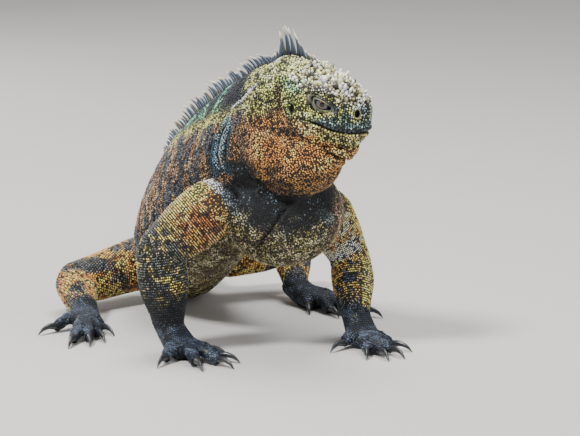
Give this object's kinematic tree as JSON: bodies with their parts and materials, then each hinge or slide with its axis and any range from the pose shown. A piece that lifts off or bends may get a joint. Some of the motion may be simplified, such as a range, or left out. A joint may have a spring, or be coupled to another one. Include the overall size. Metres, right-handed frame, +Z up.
{
  "type": "marine iguana figure",
  "caption": "Life-size model of a large seagoing lizard propped on straight forelegs with its head turned, spiny crest and long tail, resting on the floor.",
  "frame": {"origin": "middle of the footprint, on the floor it rests on", "axes": "+X the way the shoulders face, with the tail behind; +Y the animal's left; +Z up"},
  "size_m": [0.7166, 0.5588, 0.2466],
  "materials": {
    "head_skin": "dry granular scales, cream on the crown, green and dark round the mouth",
    "throat_skin": "dry fine granules, orange brown",
    "neck_skin": "dry granules, yellow green and orange brown",
    "body_skin": "dry granules, dark brown mottled",
    "tail_skin": "dry keeled scales in rings, charcoal",
    "limb_skin": "dry scale rows, yellow ochre darkening to the wrists",
    "hand_skin": "dry charcoal scales",
    "claw": "smooth dark horn",
    "eye": "wet and glossy"
  },
  "bodies": {
    "root": {"torso_rear": "body_skin", "torso_front": "body_skin", "neck": "neck_skin", "tail_base": "tail_skin", "tail_middle": "tail_skin", "tail_tip": "tail_skin", "head": "head_skin", "jaw": "head_skin", "eye_left": "eye", "eye_right": "eye", "throat": "throat_skin", "upper_arm_right": "limb_skin", "forearm_right": "limb_skin", "hand_right": "hand_skin", "claw_hand_right_1": "claw", "claw_hand_right_2": "claw", "claw_hand_right_3": "claw", "claw_hand_right_4": "claw", "claw_hand_right_5": "claw", "upper_arm_left": "limb_skin", "forearm_left": "limb_skin", "hand_left": "hand_skin", "claw_hand_left_1": "claw", "claw_hand_left_2": "claw", "claw_hand_left_3": "claw", "claw_hand_left_4": "claw", "claw_hand_left_5": "claw", "thigh_right": "limb_skin", "shin_right": "limb_skin", "foot_right": "hand_skin", "claw_foot_right_1": "claw", "claw_foot_right_2": "claw", "claw_foot_right_3": "claw", "claw_foot_right_4": "claw", "claw_foot_right_5": "claw", "thigh_left": "limb_skin", "shin_left": "limb_skin", "foot_left": "hand_skin", "claw_foot_left_1": "claw", "claw_foot_left_2": "claw", "claw_foot_left_3": "claw", "claw_foot_left_4": "claw", "claw_foot_left_5": "claw"}
  },
  "joints": []
}
